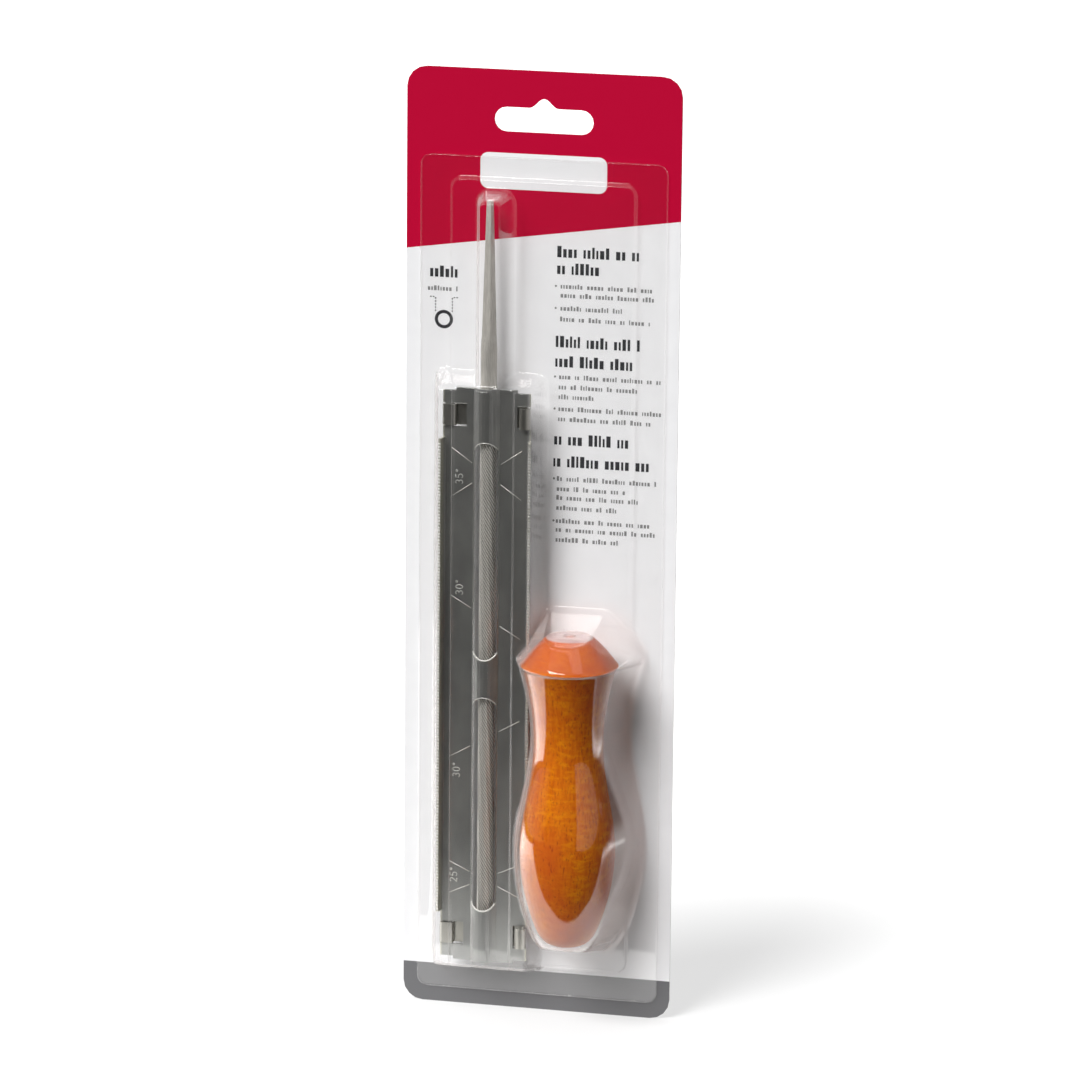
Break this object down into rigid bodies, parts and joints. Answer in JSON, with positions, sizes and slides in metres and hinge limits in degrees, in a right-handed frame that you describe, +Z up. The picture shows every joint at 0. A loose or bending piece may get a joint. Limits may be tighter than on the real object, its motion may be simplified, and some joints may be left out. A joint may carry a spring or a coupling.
{
  "type": "chainsaw file guide in a hanging pack",
  "caption": "Formed steel sharpening guide with a round file clipped in it, beside a turned wooden file handle, under a clear blister on a hanging card.",
  "frame": {"origin": "middle of the hang slot's width and height, without its hump, on the front face of the card", "axes": "+Z up along the card as it hangs, -Y out of the printed face towards the customer, +X to the right as seen from the front"},
  "size_m": [0.0888, 0.0345, 0.3088],
  "materials": {
    "printed_card": "satin print",
    "clear_plastic": "clear, glossy",
    "plated_steel": "dark plated",
    "spring_steel": "bright",
    "file_steel": "cut teeth, plain tang",
    "lacquered_wood": "glossy orange lacquer"
  },
  "bodies": {
    "pack": {"backing_card": "printed_card", "blister_shell": "clear_plastic", "guide_plate": "plated_steel"},
    "upper_clip": {"upper_clip": "spring_steel"},
    "lower_clip": {"lower_clip": "spring_steel"},
    "file": {"round_file": "file_steel"},
    "handle": {"wood_handle": "lacquered_wood"}
  },
  "joints": [
    {"name": "upper_clip_open", "type": "hinge", "parent": "pack", "child": "upper_clip", "pos_m": [-0.02792, -0.0079, -0.0943], "axis": [0, 0, 1], "range_deg": [0, 5]},
    {"name": "lower_clip_open", "type": "hinge", "parent": "pack", "child": "lower_clip", "pos_m": [-0.02792, -0.0079, -0.2665], "axis": [0, 0, 1], "range_deg": [0, 5]},
    {"name": "file_turn", "type": "hinge", "parent": "pack", "child": "file", "pos_m": [-0.0158, -0.00585, -0.275], "axis": [0, 0, 1], "continuous": true},
    {"name": "handle_turn", "type": "hinge", "parent": "pack", "child": "handle", "pos_m": [0.0139, -0.017, -0.265], "axis": [0, 0, 1], "continuous": true}
  ]
}
